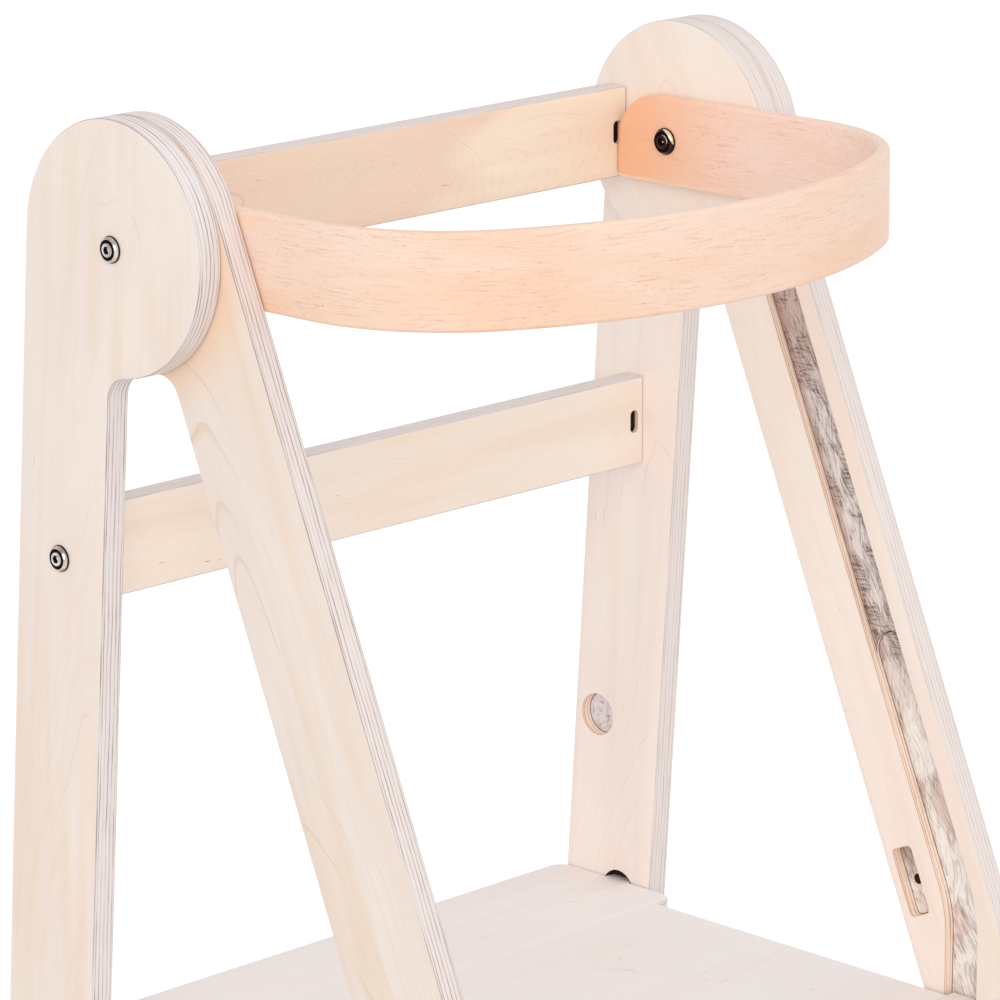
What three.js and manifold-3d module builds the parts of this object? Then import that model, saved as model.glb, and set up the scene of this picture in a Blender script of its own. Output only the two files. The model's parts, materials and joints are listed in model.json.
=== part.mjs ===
// Folding learning tower in birch plywood: a child stands on the platform at worktop height, inside a bent beech
// safety bar. Two pairs of side plates turn on each other at round heads, so the climbing side swings back against
// the rear legs while the platform tips up between them.
// Millimetres. X runs across, the climbing side faces -Y, Z is up, and the feet stand on z = 0.
import * as THREE from "three";
import { mergeVertices } from "three/addons/utils/BufferGeometryUtils.js";
import Module from "manifold-3d";

const wasm = await Module();
wasm.setup();
const { degToRad } = THREE.MathUtils;

// Side plates
const sheet = 15;
const towerWidth = 468;
const pivotHeight = 860;
const headRadius = 70;
const legWidth = 70;
const legFillet = 15;
const footCorner = 4;
const rearLean = degToRad(4);

// Clearances, the broken edge on sawn plywood, and the fineness of arcs
const runningGap = 0.7;
const seatGap = 0.3;
const threadGap = 0.3;
const edgeBreak = 0.7;
const overrun = 3;
const arcSagitta = 0.08;
const mergeDistance = 0.001;
const roundSides = 20;
const smallSides = 12;

// Cross rails
const railHeight = 54;
const railRound = 1.6;
const topRailSetback = 40;
const middleRailReach = 181.5;
const lowerRailReach = 700;
const nutSlotWidth = 6.2;
const nutSlotHeight = 13.6;
const nutSlotInset = 7.3;
const nutSlotDepth = 12;

// Step
const stepHeight = 195;
const stepDepth = 92;
const stepCorner = 12;
const stepRearInset = 1.5;
const stepBoltSpacing = 44;

// Platform and the pockets and grooves that carry it
const platformHeight = 385.5;
const platformSetback = 59.5;
const tenonSpan = 289;
const rearTenonWidth = 20;
const tenonCorner = 2;
const frontTenonWidth = 18;
const earReach = 48.5;
const earCorner = 10.5;
const earFillet = 3;
const platformNose = 33;
const platformFrontCorner = 14;
const platformSideGap = 1.5;
const pocketRadius = 13;
const pocketDepth = 7;
const pocketRise = 110;
const pocketSetback = 18;
const grooveWidth = 24;
const grooveInset = 23.5;
const grooveFootInset = 47.07654;
const grooveTopReach = 103;
const grooveBend = 90;
const grooveShallow = 5.5;
const grooveStepReach = 323.5;
const housingWidth = 15.4;
const housingLength = 41;
const housingCorner = 3;
const housingInset = 14;
const housingReach = 454.5;
const housingHole = 6.4;

// Bent safety bar
const barHeight = 53;
const barThickness = 8;
const barReach = 249;
const barFrontRadius = 305;
const barCornerRadius = 108;
const barEdge = 1.6;
const barTilt = degToRad(0.35);
const barTopCorner = 32;
const barBottomCorner = 4;

// Fasteners
const boltHead = 15;
const boltHeadHeight = 3.4;
const boltShank = 6;
const boltPastNut = 2;
const boltClearance = 0.5;
const headRecess = 4.2;
const headRecessGap = 0.8;
const headChamferShare = 0.3;
const socketWidth = 5;
const socketDepth = 2.6;
const nutThickness = 5;
const nutDepth = 8;
const sleeveDiameter = 9.6;
const sleeveShort = 1.2;
const pivotHead = 15;
const pivotScrewHead = 16;
const pivotScrewLength = 24;

// Places that follow from the sizes above, measured from the pivot axis
const outerPlateX = towerWidth / 2 - sheet / 2;
const innerPlateX = outerPlateX - sheet - runningGap;
const betweenOuter = towerWidth / 2 - sheet;
const betweenInner = betweenOuter - sheet - runningGap;
const platformDrop = platformHeight - sheet / 2 - pivotHeight;
const lowerPocket = new THREE.Vector2(platformSetback, platformDrop);
const upperPocket = new THREE.Vector2(platformSetback + pocketSetback, platformDrop + pocketRise);
const frontTenon = new THREE.Vector2(platformSetback - tenonSpan, platformDrop);

// The front legs lean, about 23 degrees, as far as the groove's foot needs to hold the platform's front tenon at its
// inset from the leg's front edge.
const towardsTenon = Math.atan2(-frontTenon.x, -frontTenon.y);
const frontLean = towardsTenon - Math.asin((headRadius - grooveFootInset) / frontTenon.length());

// Colours from the wood and the metal
const birch = { color: 0xf0e3d6, roughness: 0.55, metalness: 0 };
const beech = { color: 0xf3cfb0, roughness: 0.5, metalness: 0 };
const chrome = { color: 0xc9cacc, roughness: 0.2, metalness: 1 };
const blackened = { color: 0x2a2320, roughness: 0.35, metalness: 0.9 };
const zinc = { color: 0x9ea1a4, roughness: 0.4, metalness: 1 };

// A point of the standing tower's side view, seen in the frame of a plate that leans by the angle.
function inPlate(point, lean) {
  return point.clone().rotateAround(new THREE.Vector2(), -lean);
}

// An outline made of straight runs and true arcs, as points close enough for the chosen sagitta.
class Outline {
  constructor() {
    this.points = [];
  }
  to(x, y) {
    const point = new THREE.Vector2(x, y);
    const last = this.points.at(-1);
    if (!last || last.distanceTo(point) > mergeDistance) this.points.push(point);
    return this;
  }
  arc(x, y, radius, from, to) {
    const step = 2 * Math.acos(1 - Math.min(arcSagitta / radius, 0.5));
    const count = Math.max(2, Math.ceil(Math.abs(to - from) / step));
    for (let i = 0; i <= count; i++) {
      const angle = from + ((to - from) * i) / count;
      this.to(x + radius * Math.cos(angle), y + radius * Math.sin(angle));
    }
    return this;
  }
  corner(before, at, after, radius) {
    const back = before.clone().sub(at).normalize();
    const ahead = after.clone().sub(at).normalize();
    const half = Math.acos(back.dot(ahead)) / 2;
    const middle = back.clone().add(ahead).setLength(radius / Math.sin(half)).add(at);
    const start = back.clone().setLength(radius / Math.tan(half)).add(at).sub(middle);
    const turn = Math.sign(back.cross(start)) * (Math.PI - 2 * half);
    return this.arc(middle.x, middle.y, radius, start.angle(), start.angle() + turn);
  }
  shape() {
    if (this.points[0].distanceTo(this.points.at(-1)) <= mergeDistance) this.points.pop();
    return new THREE.Shape(this.points);
  }
}

// A closed outline through corners given as [x, y, radius]; a radius of 0 leaves the corner sharp.
function cornered(corners) {
  const outline = new Outline();
  const at = corners.map(([x, y]) => new THREE.Vector2(x, y));
  corners.forEach(([x, y, radius], i) => {
    const before = at[(i + at.length - 1) % at.length];
    const after = at[(i + 1) % at.length];
    if (radius > 0) outline.corner(before, at[i], after, radius);
    else outline.to(x, y);
  });
  return outline.shape();
}

function roundedRectangle(width, height, radius) {
  const signs = [[-1, -1], [1, -1], [1, 1], [-1, 1]];
  return cornered(signs.map(([i, j]) => [(i * width) / 2, (j * height) / 2, radius]));
}

// A board of the outline, centred on z = 0, its two faces' edges broken by a chamfer.
function board(shape, thickness, edge = 0) {
  const geometry = new THREE.ExtrudeGeometry(shape, {
    depth: thickness - 2 * edge,
    bevelEnabled: edge > 0,
    bevelThickness: edge,
    bevelSize: edge,
    bevelOffset: -edge,
    bevelSegments: 1,
  });
  return geometry.translate(0, 0, edge - thickness / 2);
}

// Turns a board drawn in (Y, Z) so that its thickness runs along X.
function acrossX(geometry) {
  const yAxis = new THREE.Vector3(0, 1, 0);
  const zAxis = new THREE.Vector3(0, 0, 1);
  const xAxis = new THREE.Vector3(1, 0, 0);
  return geometry.applyMatrix4(new THREE.Matrix4().makeBasis(yAxis, zAxis, xAxis));
}

// A round bar or hole along X, centred on x, y, z.
function rod(diameter, length, x, y, z, sides = roundSides) {
  const geometry = new THREE.CylinderGeometry(diameter / 2, diameter / 2, length, sides);
  return geometry.rotateZ(Math.PI / 2).translate(x, y, z);
}

function solidOf(geometry) {
  const bare = geometry.index ? geometry.toNonIndexed() : geometry.clone();
  bare.deleteAttribute("normal");
  bare.deleteAttribute("uv");
  const merged = mergeVertices(bare, mergeDistance);
  const vertProperties = merged.attributes.position.array;
  const triVerts = new Uint32Array(merged.index.array);
  return new wasm.Manifold(new wasm.Mesh({ numProp: 3, vertProperties, triVerts }));
}

// The body with every cutter taken away, and every addition joined first.
function carve(body, cutters, additions = []) {
  let solid = solidOf(body);
  for (const addition of additions) solid = solid.add(solidOf(addition));
  for (const cutter of cutters) solid = solid.subtract(solidOf(cutter));
  const made = solid.getMesh();
  const geometry = new THREE.BufferGeometry();
  geometry.setAttribute("position", new THREE.BufferAttribute(made.vertProperties, 3));
  geometry.setIndex(new THREE.BufferAttribute(made.triVerts, 1));
  return geometry;
}

function mesh(name, geometry, finish) {
  const made = new THREE.Mesh(geometry, new THREE.MeshStandardMaterial(finish));
  made.name = name;
  return made;
}

// A leg that hangs from its round head: one long edge is tangent to the head, and a fillet joins the other edge to
// the head's underside. facing is 1 when the tangent edge is at the rear, -1 when it is at the front.
function plateOutline(facing, lean) {
  const reach = Math.sqrt((headRadius + legFillet) ** 2 - (headRadius - legWidth - legFillet) ** 2);
  const freeEdge = headRadius - legWidth;
  const middle = new THREE.Vector2(freeEdge - legFillet, -reach);
  const footAt = (y) => new THREE.Vector2(y, (-pivotHeight - y * Math.sin(lean)) / Math.cos(lean));
  const freeFoot = footAt(freeEdge);
  const tangentFoot = footAt(headRadius);
  const outline = new Outline();
  outline.corner(tangentFoot, freeFoot, new THREE.Vector2(freeEdge, -reach), footCorner);
  const inward = Math.atan2(-middle.y, -middle.x);
  outline.arc(middle.x, middle.y, legFillet, 0, inward);
  outline.arc(0, 0, headRadius, inward - Math.PI, -2 * Math.PI);
  outline.corner(new THREE.Vector2(headRadius, 0), tangentFoot, freeFoot, footCorner);
  for (const point of outline.points) point.x *= facing;
  return outline.shape();
}

// Bolt holes and, where the head must lie below the face, its recess on the side that the head is on.
function boltHoles(places, side, recessed = false) {
  const holes = places.map(({ x, y }) => rod(boltShank + boltClearance, sheet + overrun, 0, x, y));
  const depth = headRecess + overrun;
  const middle = side * (sheet / 2 - headRecess + depth / 2);
  const recess = ({ x, y }) => rod(boltHead + 2 * headRecessGap, depth, middle, x, y);
  return recessed ? holes.concat(places.map(recess)) : holes;
}

// A cutter that leaves a floor at the depth below the plate's inner face.
function sunk(shape, depth, side) {
  const cutter = acrossX(board(shape, depth + overrun));
  return cutter.translate(-side * (sheet / 2 - depth + (depth + overrun) / 2), 0, 0);
}

function roundPocket(centre, side) {
  const circle = new Outline().arc(centre.x, centre.y, pocketRadius, 0, 2 * Math.PI);
  return sunk(circle.shape(), pocketDepth, side);
}

// Where the rails' bolts pass through a leaning plate
const legCentre = headRadius - legWidth / 2;
const middleRailAt = new THREE.Vector2(legCentre, -middleRailReach);
const lowerRailAt = new THREE.Vector2(legCentre, -lowerRailReach);
const topRailAt = inPlate(new THREE.Vector2(topRailSetback + sheet / 2, 0), -frontLean);
const stepDrop = stepHeight - sheet / 2 - pivotHeight;
const stepRearEdge = stepDrop * Math.tan(frontLean) - stepRearInset;
const legMiddleAtStep = stepDrop * Math.tan(frontLean) - legWidth / Math.cos(frontLean) / 2;
const stepRailDrop = stepDrop - sheet / 2 - seatGap - railHeight / 2;
const stepRailSetback = stepRailDrop * Math.tan(frontLean) - legWidth / Math.cos(frontLean) / 2;
const stepBoltsAt = [-1, 1].map((end) =>
  inPlate(new THREE.Vector2(legMiddleAtStep + (end * stepBoltSpacing) / 2, stepDrop), -frontLean),
);
const stepRailAt = inPlate(new THREE.Vector2(stepRailSetback, stepRailDrop), -frontLean);

function rearPlate(side) {
  const body = acrossX(board(plateOutline(1, rearLean), sheet, edgeBreak));
  return carve(body, [
    rod(sleeveDiameter + boltClearance, sheet + overrun, 0, 0, 0),
    roundPocket(inPlate(lowerPocket, rearLean), side),
    roundPocket(inPlate(upperPocket, rearLean), side),
    ...boltHoles([middleRailAt, lowerRailAt], side),
  ]);
}

// The groove that guides the platform's front tenon: straight along the leg, then bent to hang plumb where the
// platform stands level, so that its weight locks it.
function grooveOutline(topReach) {
  const half = grooveWidth / 2;
  const x = grooveInset - headRadius;
  const rest = inPlate(frontTenon, -frontLean);
  const bendRun = grooveBend * Math.tan(frontLean / 2);
  const cornerZ = rest.y - (x - rest.x) / Math.tan(frontLean);
  const bendX = x + grooveBend;
  const bendZ = cornerZ + bendRun;
  const outline = new Outline();
  outline.arc(x, -topReach, half, 0, Math.PI);
  outline.arc(bendX, bendZ, grooveBend + half, Math.PI, Math.PI + frontLean);
  outline.arc(rest.x, rest.y, half, Math.PI + frontLean, 2 * Math.PI + frontLean);
  outline.arc(bendX, bendZ, grooveBend - half, Math.PI + frontLean, Math.PI);
  return outline.shape();
}

function housingOutline() {
  const shape = roundedRectangle(housingWidth, housingLength, housingCorner);
  const moved = shape.getPoints().map((p) => p.add(new THREE.Vector2(-housingInset, -housingReach)));
  return new THREE.Shape(moved);
}

function frontPlate(side) {
  const body = acrossX(board(plateOutline(-1, frontLean), sheet, edgeBreak));
  return carve(body, [
    rod(sleeveDiameter + boltClearance, sheet + overrun, 0, 0, 0),
    sunk(grooveOutline(grooveTopReach), grooveShallow, side),
    sunk(grooveOutline(grooveStepReach), pocketDepth, side),
    sunk(housingOutline(), pocketDepth, side),
    rod(housingHole, sheet + overrun, 0, -housingInset, -housingReach, smallSides),
    ...boltHoles([topRailAt], side, true),
    ...boltHoles([...stepBoltsAt, stepRailAt], side),
  ]);
}

// A slot from the board's face for the nut plate, and the bolt's hole into the board's end, at each end of the board.
function nutCuts(length, places, faceTurn) {
  const cutters = [];
  const slotOutline = roundedRectangle(nutSlotWidth, nutSlotHeight, nutSlotWidth / 2 - seatGap);
  const nearFace = (sheet - nutSlotDepth + overrun) / 2;
  for (const side of [-1, 1]) {
    for (const { y, z } of places) {
      const slot = board(slotOutline, nutSlotDepth + overrun).translate(0, 0, nearFace).rotateX(faceTurn);
      cutters.push(slot.translate(side * (length / 2 - nutSlotInset), y, z));
      const holeLength = nutSlotInset + nutSlotWidth / 2 + boltPastNut + overrun;
      const holeX = side * (length / 2 + overrun - holeLength / 2);
      cutters.push(rod(boltShank + boltClearance, holeLength, holeX, y, z, smallSides));
    }
  }
  return cutters;
}

// A cross rail, its face with the nut slots turned to the climbing side.
function rail(length) {
  const body = acrossX(board(roundedRectangle(sheet, railHeight, railRound), length));
  return carve(body, nutCuts(length, [{ y: 0, z: 0 }], Math.PI / 2));
}

// The step's corners are round where it stands out in front of the legs, and its nut slots open downwards.
function stepBoard(length, boltsY) {
  const frontY = stepRearEdge - stepDepth;
  const half = length / 2;
  const outline = cornered([
    [-half, stepRearEdge, 0],
    [-half, frontY, stepCorner],
    [half, frontY, stepCorner],
    [half, stepRearEdge, 0],
  ]);
  const places = boltsY.map((y) => ({ y, z: 0 }));
  return carve(board(outline, sheet, edgeBreak), nutCuts(length, places, Math.PI));
}

// The platform, drawn round the axis of its rear tenons. Its ears fill the space between the rear legs, and its front
// is narrower, to pass between the front legs. The front tenons stop short of the grooves' faces.
function platformOutline() {
  const earX = betweenOuter - runningGap;
  const tenonX = betweenOuter + pocketDepth - runningGap;
  const sideX = betweenInner - platformSideGap;
  const stubX = betweenInner - seatGap;
  const half = [
    [earX, earReach, earCorner],
    [earX, rearTenonWidth / 2, 0],
    [tenonX, rearTenonWidth / 2, tenonCorner],
    [tenonX, -rearTenonWidth / 2, tenonCorner],
    [earX, -rearTenonWidth / 2, 0],
    [earX, -earReach, earCorner],
    [sideX, -earReach, earFillet],
    [sideX, -tenonSpan + frontTenonWidth / 2, 0],
    [stubX, -tenonSpan + frontTenonWidth / 2, 0],
    [stubX, -tenonSpan - frontTenonWidth / 2, 0],
    [sideX, -tenonSpan - frontTenonWidth / 2, 0],
    [sideX, -tenonSpan - platformNose, platformFrontCorner],
  ];
  const mirrored = half.map(([x, y, radius]) => [-x, y, radius]).reverse();
  return cornered([...half, ...mirrored]);
}

// The bar's plan: straight arms, tight corners and a long shallow front, all tangent, at one offset from its outside.
function barRun(outline, inset, direction) {
  const armX = betweenInner - runningGap - inset;
  const cornerX = armX + inset - barCornerRadius;
  const frontY = barFrontRadius - barReach;
  const cornerY = frontY - Math.sqrt((barFrontRadius - barCornerRadius) ** 2 - cornerX ** 2);
  const meet = Math.atan2(cornerY - frontY, cornerX);
  const endY = topRailSetback - seatGap;
  const across = -Math.PI - meet;
  const arcs = [
    [cornerX, cornerY, barCornerRadius - inset, 0, meet],
    [0, frontY, barFrontRadius - inset, meet, across],
    [-cornerX, cornerY, barCornerRadius - inset, across, -Math.PI],
  ];
  if (direction > 0) {
    outline.to(armX, endY);
    for (const [x, y, radius, from, to] of arcs) outline.arc(x, y, radius, from, to);
    outline.to(-armX, endY);
  } else {
    outline.to(-armX, endY);
    for (const [x, y, radius, from, to] of arcs.reverse()) outline.arc(x, y, radius, to, from);
    outline.to(armX, endY);
  }
}

// Takes the square corner off the arms' ends: edge is 1 for the top corner and -1 for the bottom one.
function armCornerCutter(edge, radius) {
  const endY = topRailSetback - seatGap;
  const topZ = (edge * barHeight) / 2;
  const outline = new Outline();
  outline.arc(endY - radius, topZ - edge * radius, radius, (edge * Math.PI) / 2, 0);
  outline.to(endY + overrun, topZ - edge * radius);
  outline.to(endY + overrun, topZ + edge * overrun);
  outline.to(endY - radius, topZ + edge * overrun);
  return acrossX(board(outline.shape(), towerWidth));
}

function safetyBar() {
  const outline = new Outline();
  barRun(outline, 0, 1);
  barRun(outline, barThickness, -1);
  return carve(board(outline.shape(), barHeight, barEdge), [
    armCornerCutter(1, barTopCorner),
    armCornerCutter(-1, barBottomCorner),
    rod(sleeveDiameter + boltClearance, towerWidth, 0, 0, 0),
  ]);
}

// A low domed head on a shank, turned about +Y with the head's underside at y = 0, and a hexagon socket in its top.
function headedPin(head, shank, length) {
  const rim = boltHeadHeight * headChamferShare;
  const profile = [
    [0, -length],
    [shank / 2, -length],
    [shank / 2, 0],
    [head / 2, 0],
    [head / 2, rim],
    [head / 2 - rim, (boltHeadHeight + rim) / 2 + rim / 2],
    [head / 2 - 2 * rim, boltHeadHeight],
    [0, boltHeadHeight],
  ].map(([x, y]) => new THREE.Vector2(x, y));
  const socket = new THREE.CylinderGeometry(
    socketWidth / Math.sqrt(3),
    socketWidth / Math.sqrt(3),
    socketDepth + overrun,
    6,
  );
  socket.translate(0, boltHeadHeight - socketDepth + (socketDepth + overrun) / 2, 0);
  return { body: new THREE.LatheGeometry(profile, roundSides), socket };
}

function screw(head, shank, length) {
  const { body, socket } = headedPin(head, shank, length);
  return carve(body, [socket]);
}

// The pivot's outer half: a headed barrel that all the plates turn on, with the bore that the inner screw enters.
function sleeveNut() {
  const length = 2 * sheet + 2 * runningGap + barThickness - sleeveShort;
  const { body, socket } = headedPin(pivotHead, sleeveDiameter, length);
  const boreLength = pivotScrewLength + overrun;
  const bore = new THREE.CylinderGeometry(
    boltShank / 2 + threadGap,
    boltShank / 2 + threadGap,
    boreLength + overrun,
    smallSides,
  );
  bore.translate(0, -length - overrun + (boreLength + overrun) / 2, 0);
  return carve(body, [socket, bore]);
}

// The nut plate slides into its slot across the bolt and holds the bolt's end.
function nutPlate() {
  const width = nutSlotHeight - 2 * seatGap;
  const body = board(roundedRectangle(nutThickness, width, nutThickness / 2 - seatGap), nutDepth);
  return carve(body, [rod(boltShank + 2 * threadGap, nutSlotWidth + overrun, 0, 0, 0, smallSides)]);
}

// A pair of bolts and nut plates that hold one cross piece between two plates, added to the frame's group.
function addBolts(frame, name, { x: y, y: z }, plateX, sunkBy, nutTurn) {
  for (const [side, word] of [[-1, "left"], [1, "right"]]) {
    const length = sheet - sunkBy + seatGap + nutSlotInset + nutSlotWidth / 2;
    const bolt = mesh(`${name}_bolt_${word}`, screw(boltHead, boltShank, length), chrome);
    bolt.position.set(side * (plateX + sheet / 2 - sunkBy + seatGap), y, z);
    bolt.rotation.z = (-side * Math.PI) / 2;
    const nut = mesh(`${name}_nut_${word}`, nutPlate(), zinc);
    nut.position.set(side * (plateX - sheet / 2 - seatGap - nutSlotInset), y, z);
    nut.rotation.x = nutTurn;
    frame.add(bolt, nut);
  }
}

// A frame's group hangs from the pivot axis and leans, so that its legs run straight down its own Z.
function frameGroup(lean) {
  const group = new THREE.Group();
  group.position.z = pivotHeight;
  group.rotation.x = lean;
  return group;
}

// Places a cross piece in a leaning frame so that it stands plumb when the tower stands.
function plumb(piece, { x: y, y: z }, lean) {
  piece.position.set(0, y, z);
  piece.rotation.x = -lean;
  return piece;
}

function buildRearFrame() {
  const frame = frameGroup(rearLean);
  const length = 2 * (betweenOuter - seatGap);
  for (const [side, word] of [[-1, "left"], [1, "right"]]) {
    const plate = mesh(`rear_side_plate_${word}`, rearPlate(side), birch);
    plate.position.x = side * outerPlateX;
    frame.add(plate);
    const sleeve = mesh(`pivot_sleeve_nut_${word}`, sleeveNut(), chrome);
    sleeve.position.x = side * (towerWidth / 2 + seatGap);
    sleeve.rotation.z = (-side * Math.PI) / 2;
    const inner = mesh(`pivot_screw_${word}`, screw(pivotScrewHead, boltShank, pivotScrewLength), blackened);
    inner.position.x = side * (betweenInner - runningGap - barThickness - seatGap);
    inner.rotation.z = (side * Math.PI) / 2;
    frame.add(sleeve, inner);
  }
  for (const [name, at] of [["middle_rear_rail", middleRailAt], ["lower_rear_rail", lowerRailAt]]) {
    frame.add(plumb(mesh(name, rail(length), birch), at, rearLean));
    addBolts(frame, name, at, outerPlateX, 0, Math.PI / 2 - rearLean);
  }
  return frame;
}

function buildFrontFrame() {
  const frame = frameGroup(-frontLean);
  const length = 2 * (betweenInner - seatGap);
  for (const [side, word] of [[-1, "left"], [1, "right"]]) {
    const plate = mesh(`front_side_plate_${word}`, frontPlate(side), birch);
    plate.position.x = side * innerPlateX;
    frame.add(plate);
  }
  frame.add(plumb(mesh("top_rail", rail(length), birch), topRailAt, -frontLean));
  addBolts(frame, "top_rail", topRailAt, innerPlateX, headRecess, Math.PI / 2 + frontLean);
  frame.add(plumb(mesh("step_rail", rail(length), birch), stepRailAt, -frontLean));
  addBolts(frame, "step_rail", stepRailAt, innerPlateX, 0, Math.PI / 2 + frontLean);
  const boltsY = [-1, 1].map((end) => legMiddleAtStep + (end * stepBoltSpacing) / 2);
  const step = mesh("step_board", stepBoard(length, boltsY), birch);
  frame.add(plumb(step, inPlate(new THREE.Vector2(0, stepDrop), -frontLean), -frontLean));
  addBolts(frame, "step_front", stepBoltsAt[0], innerPlateX, 0, Math.PI + frontLean);
  addBolts(frame, "step_rear", stepBoltsAt[1], innerPlateX, 0, Math.PI + frontLean);
  return frame;
}

function buildPlatform() {
  const platform = mesh("platform_board", board(platformOutline(), sheet, edgeBreak), birch);
  platform.position.set(0, lowerPocket.x, pivotHeight + lowerPocket.y);
  return platform;
}

function buildSafetyBar() {
  const bar = mesh("safety_bar", safetyBar(), beech);
  bar.position.z = pivotHeight;
  bar.rotation.x = -barTilt;
  return bar;
}

const tower = new THREE.Group();
tower.add(buildRearFrame(), buildFrontFrame(), buildPlatform(), buildSafetyBar());
const middle = new THREE.Box3().setFromObject(tower, true).getCenter(new THREE.Vector3());
tower.position.y = -middle.y;

export default tower;
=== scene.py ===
import json
import math
from dataclasses import dataclass

import bmesh
import bpy
import numpy as np
from mathutils import Matrix, Vector
from mathutils.geometry import tessellate_polygon


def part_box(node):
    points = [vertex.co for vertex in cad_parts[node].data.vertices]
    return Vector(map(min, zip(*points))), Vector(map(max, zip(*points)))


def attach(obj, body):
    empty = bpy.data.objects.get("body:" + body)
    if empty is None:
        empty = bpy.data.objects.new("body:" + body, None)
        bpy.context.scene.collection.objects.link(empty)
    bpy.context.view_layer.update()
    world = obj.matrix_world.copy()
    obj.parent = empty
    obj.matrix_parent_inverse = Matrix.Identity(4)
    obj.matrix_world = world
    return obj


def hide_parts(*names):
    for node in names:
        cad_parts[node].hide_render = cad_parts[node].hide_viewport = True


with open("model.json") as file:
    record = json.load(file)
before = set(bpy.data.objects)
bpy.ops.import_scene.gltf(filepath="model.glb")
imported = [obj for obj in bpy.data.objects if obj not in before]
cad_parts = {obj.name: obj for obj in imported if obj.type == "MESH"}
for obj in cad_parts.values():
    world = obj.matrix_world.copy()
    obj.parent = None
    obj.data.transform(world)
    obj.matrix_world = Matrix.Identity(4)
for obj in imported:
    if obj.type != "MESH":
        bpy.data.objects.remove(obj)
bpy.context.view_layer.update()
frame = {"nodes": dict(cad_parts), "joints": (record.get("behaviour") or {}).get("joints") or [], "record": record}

MM = 0.001
JOINTS = {joint["name"]: np.array(joint["pos_m"]) / MM for joint in frame["joints"]}
PIVOT = JOINTS["main_fold"]
TENON_AXIS = JOINTS["platform_fold"]

SHEET = 15.0
FACE = SHEET / 2
PLY_COUNT = 11
TOWER_WIDTH = 468.0
HEAD_RADIUS = 70.0
LEG_WIDTH = 70.0
LEG_FILLET = 15.0
FOOT_CORNER = 4.0
REAR_LEAN = math.radians(4)
FRONT_LEAN = math.radians(-23)
RUNNING_GAP = 0.7
SEAT_GAP = 0.3
PLATE_EDGE = 1.0
ROUTED_EDGE = 0.35

RAIL_HEIGHT = 54.0
RAIL_ROUND = 1.6
RAIL_END_BREAK = 0.5
TOP_RAIL_SETBACK = 40.0
NUT_SLOT = (6.2, 13.6)
NUT_SLOT_INSET = 7.3
NUT_SLOT_LIP = 2.6
NUT_SLOT_DEPTH = 12.0
STEP_CORNER = 12.0

TENON_SPAN = 289.0
REAR_TENON_HALF = 10.0
FRONT_TENON_HALF = 9.0
TENON_CORNER = 2.0
EAR_REACH = 48.5
EAR_CORNER = 10.5
FLANK_GAP = 1.5
FLANK_FILLET = 3.0
PLATFORM_CORNER = 14.0

POCKET_RADIUS = 13.0
POCKET_DEPTH = 7.0
POCKET_STEP = (18.0, 110.0)
GROOVE_HALF = 12.0
GROOVE_AT = -46.5
GROOVE_TOP = -103.0
GROOVE_BEND = 90.0
GROOVE_SHALLOW = 5.5
GROOVE_STEP = -323.5
HOUSING_AT = (-14.0, -454.5)
HOUSING_SIZE = (15.4, 41.0)
HOUSING_CORNER = 3.0
HOUSING_HOLE = 3.2
FLOOR_SEAM = 0.45

BAR_HEIGHT = 53.0
BAR_THICKNESS = 8.0
BAR_REACH = 249.0
BAR_FRONT_RADIUS = 305.0
BAR_CORNER_RADIUS = 108.0
BAR_EDGE = 2.6
BAR_TILT = math.radians(-0.35)
BAR_TOP_CORNER = 32.0
BAR_BOTTOM_CORNER = 4.0
BAR_LEAST_HALF = 0.3
BAR_TOP_STEPS = 14
BAR_EDGE_STEPS = 4
BAR_ARM_STEPS = 12

HEAD_HEIGHT = 3.4
HEAD_RECESS = 4.2
HEAD_RECESS_RADIUS = 8.3
HEAD_SIDES = 48
SOCKET_RADIUS = 2.45
SOCKET_TAPER = 0.96
SOCKET_DEPTH = 1.4
SOCKET_POINT = 0.5

BETWEEN_OUTER = TOWER_WIDTH / 2 - SHEET
BETWEEN_INNER = BETWEEN_OUTER - SHEET - RUNNING_GAP
OUTER_PLATE = BETWEEN_OUTER + FACE
INNER_PLATE = BETWEEN_INNER + FACE
ROUND_STEPS = 3
SAME_POINT = 1e-4
SMOOTH_LIMIT = math.radians(40)
WELD_METRES = 1e-6
WORDS = {-1: "left", 1: "right"}


# Outlines: closed rows of 2-D points, counter-clockwise

def arc(centre, radius, start, end, step=3):
    """Points at centre + radius * (cos, sin) of angles evenly from start to end, at most a step apart."""
    count = max(2, math.ceil(abs(end - start) / math.radians(step)) + 1)
    angle = np.linspace(start, end, count)
    return np.array(centre) + radius * np.stack([np.cos(angle), np.sin(angle)], 1)


def ring(centre, radius, step=6):
    return arc(centre, radius, 0, 2 * math.pi, step)[:-1]


def joined(*runs):
    """The runs one after another, without the points that repeat the one before."""
    points = np.concatenate([np.atleast_2d(run) for run in runs])
    gap = np.linalg.norm(points - np.roll(points, 1, axis=0), axis=1)
    return points[gap > SAME_POINT]


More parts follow.
